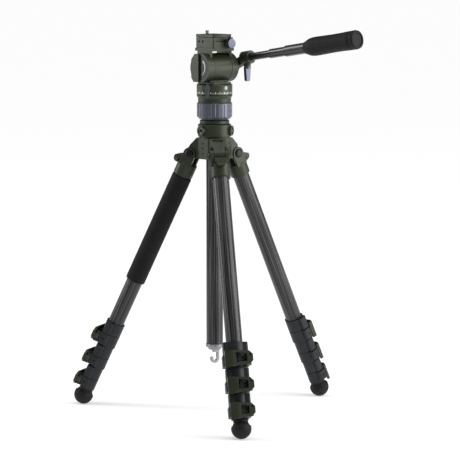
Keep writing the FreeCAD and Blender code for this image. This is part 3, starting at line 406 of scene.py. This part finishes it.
def sectionParts(leg, node):
    # the faces of a leg section that reach above its clamp are the tube's
    depths = [(vert.co - leg["pivot"]).dot(leg["down"]) for vert in frame["nodes"][node].data.vertices]
    clampTop = max(depths) - clampTest["height"]
    return [(leg["carbon"], lambda corners: min((c - leg["pivot"]).dot(leg["down"]) for c in corners) < clampTop)]


for leg in legs:
    leg["carbon"] = carbonMaterial(leg["name"] + "Carbon", leg["pivot"], leg["down"])
    for node in ("yoke", "angle_lock", "clamp_1"):
        dressed(leg["name"] + "_" + node)
    for node in ("lever_1", "lever_2", "lever_3"):
        dressed(leg["name"] + "_" + node, 0.0007)
    for node in ("tube_1", "tube_4"):
        dressed(leg["name"] + "_" + node, material=leg["carbon"])
    for node in ("section_2", "section_3"):
        dressed(leg["name"] + "_" + node, others=sectionParts(leg, leg["name"] + "_" + node))
print("legs dressed")

footShape = {"ball": 16.85, "neck": 12.3, "neckLength": 14.4, "waist": 12.9, "flare": 8.5, "groove": 0.35}


def arcPoints(radius, middle, start, end, count):
    # (radius, distance) points on a circle about a point of the axis, angles in degrees from the down axis
    points = []
    for k in range(count + 1):
        angle = radians(start + (end - start) * k / count)
        points.append((radius * sin(angle), middle + radius * cos(angle)))
    return points


def scaled(outline):
    return [(r * mm, d * mm) for r, d in outline]


def rubberFoot(leg):
    shape = footShape
    length = (leg["pivot"].z / mm - shape["ball"]) / -leg["down"].z
    top = length - shape["neckLength"]
    outline = [(0, top), (shape["neck"] - 0.9, top), (shape["neck"] - 0.2, top + 0.3), (shape["neck"], top + 1.0),
               (shape["neck"], top + 4.6), (shape["neck"] - shape["groove"], top + 4.9),
               (shape["neck"] - shape["groove"], top + 5.3), (shape["waist"], top + 5.8),
               (shape["waist"] + 0.9, length - 6.6), (15.2, length - 4.6)]
    outline += arcPoints(shape["ball"], length, 102, 0, 20)
    bm = lathe(scaled(outline), leg["pivot"], leg["down"], 72)
    piece = finished(bm, leg["name"] + "_foot.rubber", materials["black_rubber"], leg["name"] + "_section_4",
                     "black_rubber", leg["name"] + "_foot")
    return smoothed(piece, 50)


for leg in legs:
    rubberFoot(leg)

sleeveShape = {"radius": 17.2, "top": 43.0, "length": 206.0, "round": 2.4, "bore": 14.05, "sag": 0.12}


def foamSleeve(leg):
    # closed foam tube; its skin is very slightly uneven
    shape = sleeveShape
    end = shape["top"] + shape["length"]
    inner = shape["radius"] - shape["round"]
    outline = [(shape["bore"], shape["top"] + 0.2), (inner, shape["top"] + 0.1)]
    for k in range(1, 7):
        angle = radians(15 * k)
        outline.append((inner + shape["round"] * sin(angle), shape["top"] + shape["round"] * (1 - cos(angle))))
    steps = 40
    for k in range(1, steps):
        outline.append((shape["radius"] - shape["sag"] * (0.5 + 0.5 * sin(k * 1.7) * cos(k * 0.6)),
                        shape["top"] + shape["round"] + (shape["length"] - 2 * shape["round"]) * k / steps))
    for k in range(0, 7):
        angle = radians(15 * k)
        outline.append((inner + shape["round"] * cos(angle), end - shape["round"] * (1 - sin(angle))))
    outline += [(shape["bore"], end - 0.1), (shape["bore"], shape["top"] + 0.2)]
    bm = lathe(scaled(outline), leg["pivot"], leg["down"], 72)
    piece = finished(bm, leg["name"] + "_foam_sleeve.foam", materials["foam"], leg["name"], "foam",
                     leg["name"] + "_foam_sleeve")
    return smoothed(piece, 60)


foamSleeve(legs[1])
print("feet and sleeve turned")

# ---- centre, head and handle ----

columnCarbon = carbonMaterial("columnCarbon", (0, 0, 0), (0, 0, 1))
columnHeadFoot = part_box("levelling_ring")[0].z - 0.0015
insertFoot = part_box("pivot_bolts_and_inserts")[1].z - 0.011
dressed("column", material=columnCarbon,
        others=[(materials["olive_paint"], lambda corners: min(c.z for c in corners) > columnHeadFoot)])
dressed("pivot_bolts_and_inserts", 0.0006,
        others=[(materials["bright_alloy"], lambda corners: min(c.z for c in corners) > insertFoot)])
for node in ("spider", "column_lock_ring", "column_end_cap", "weight_hook", "levelling_ring", "levelling_ball",
             "levelling_washer", "pan_lock_knob", "tilt_housing", "tilt_cradle", "side_cover", "plate_clamp",
             "plate_lock_knob", "quick_release_plate", "handle_arm", "handle_clamp_lever"):
    dressed(node)
dressed("camera_screw", 0.0002, materials["bright_alloy"])
handleAxis = joints["handle_middle_slide"]["axis"]
for node in ("handle_tube_inner", "handle_tube_middle", "handle_tube_outer"):
    dressed(node, 0.0005, materials["blackTube"])

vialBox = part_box("bubble_level")
vialPrint = {"bubble": 0.0012, "bubbleShift": 0.0006, "ring": 0.0019, "line": 0.0003, "rim": 0.0034}
dressed("bubble_level", 0.0003, vialMaterial((vialBox[0] + vialBox[1]) / 2, (0, 1, 0), vialPrint))

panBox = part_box("pan_base")
panScale = {"bottom": panBox[1].z - 0.0165, "short": 0.0018, "tall": 0.0034, "marks": 72, "every": 3, "width": 0.14}
dressed("pan_base", material=panMaterial(panScale))

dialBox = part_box("tilt_drag_dial")
dialCentre = (dialBox[0] + dialBox[1]) / 2
dialPrint = {"start": -1.15, "end": 1.0, "ticks": 6.0, "inner": 0.0125, "grow": 0.0018, "line": 0.0006}
dressed("tilt_drag_dial", material=dialMaterial(dialCentre, dialPrint))

gripShape = {"flat": 14.6, "outline": [
    (0, 0.0), (9.9, 0.0), (10.9, 0.5), (11.4, 2.5), (13.0, 6.0), (14.8, 11.0), (15.8, 18.0), (15.9, 26.0), (15.6, 42.0),
    (15.2, 60.0), (15.3, 78.0), (15.8, 94.0), (15.9, 101.0), (15.5, 102.4), (15.1, 102.8), (15.1, 104.0), (15.5, 104.4),
    (16.0, 105.6), (16.0, 109.4), (15.2, 111.9), (13.4, 112.9), (11.6, 113.0), (11.0, 112.5), (10.7, 111.4), (0, 111.2)]}


def rubberGrip():
    shape = gripShape
    axis = Vector(handleAxis)
    ring = Vector(joints["handle_clamp_lever_turn"]["pos_m"])
    length = max(d for r, d in shape["outline"]) * mm
    reach = max((vert.co - ring).dot(axis) for vert in frame["nodes"]["handle_grip"].data.vertices)
    start = ring + axis * (reach - length)
    bm = lathe(scaled(shape["outline"]), start, axis, 96)
    side = axis.cross(Vector((0, 0, 1))).normalized()
    flat = shape["flat"] * mm
    for vert in bm.verts:
        away = (vert.co - start).dot(side)
        depth = (vert.co - start).dot(axis) / length
        if abs(away) > flat and 0.1 < depth < 0.88:
            # two soft flats for thumb and fingers
            vert.co += side * (flat - abs(away)) * 0.6 * (1 if away > 0 else -1)
    piece = finished(bm, "handle_grip.rubber", materials["black_rubber"], "handle_outer", "black_rubber", "handle_grip")
    return smoothed(piece, 40)


rubberGrip()
print("head dressed")

# ---- floor, light and camera ----

stage = {"floor": 30.0, "glow": 0.8, "sky": 0.22, "view": Vector((-2.8608, -3.3831, 0.8237)), "heading": 49.44, "pitch": -6.522,
         "lens": 203.12, "sensor": 36.0}


def floorMaterial():
    recipe = Recipe("floorPaper", Roughness=0.9, Specular_IOR_Level=0.0, Emission_Strength=stage["glow"])
    recipe.feed("Base Color", recipe.mix(recipe.noise(3, 2), colour(0.80, 0.80, 0.80), colour(0.82, 0.82, 0.82)))
    heading = radians(stage["heading"])
    beyond = (recipe.along((cos(heading), sin(heading), 0)) + 1.4) / 4.0
    lit = beyond.maths("MAXIMUM", 0.0).maths("MINIMUM", 1.0)
    recipe.feed("Emission Color", recipe.mix(lit, colour(0.25, 0.25, 0.25), colour(1, 1, 1)))
    return recipe.material


bm = bmesh.new()
bmesh.ops.create_grid(bm, x_segments=2, y_segments=2, size=stage["floor"])
mesh = bpy.data.meshes.new("floor")
bm.to_mesh(mesh)
bm.free()
mesh.materials.append(floorMaterial())
floor = bpy.data.objects.new("floor", mesh)
bpy.context.scene.collection.objects.link(floor)


def softbox(name, where, target, size, power):
    data = bpy.data.lights.new(name, "AREA")
    data.shape = "RECTANGLE"
    data.size, data.size_y = size
    data.energy = power
    lamp = bpy.data.objects.new(name, data)
    lamp.location = where
    lamp.rotation_euler = (Vector(target) - Vector(where)).to_track_quat("-Z", "Y").to_euler()
    bpy.context.scene.collection.objects.link(lamp)


world = bpy.data.worlds.new("studio")
bpy.context.scene.world = world
world.use_nodes = True
world.node_tree.nodes["Background"].inputs["Color"].default_value = colour(1.0, 1.0, 1.0)
world.node_tree.nodes["Background"].inputs["Strength"].default_value = stage["sky"]
bpy.context.scene.view_settings.view_transform = "Standard"
heading = radians(stage["heading"])
ahead = Vector((cos(heading), sin(heading), 0))
right = Vector((sin(heading), -cos(heading), 0))
centre = Vector((0, 0, 0.4))
softbox("key", centre - ahead * 0.45 + right * 1.7 + Vector((0, 0, 0.5)), centre, (1.5, 1.7), 34)
softbox("rim", centre + ahead * 0.3 - right * 1.5 + Vector((0, 0, 0.7)), centre, (0.5, 1.4), 14)
softbox("top", centre - ahead * 0.4 + Vector((0, 0, 2.2)), centre, (1.4, 1.4), 16)

cameraData = bpy.data.cameras.new("camera")
cameraData.lens = stage["lens"]
cameraData.sensor_width = stage["sensor"]
cameraData.clip_end = 100
camera = bpy.data.objects.new("camera", cameraData)
camera.location = stage["view"]
camera.rotation_euler = (radians(90 + stage["pitch"]), 0, radians(stage["heading"] - 90))
bpy.context.scene.collection.objects.link(camera)
bpy.context.scene.camera = camera

print("scene ready")
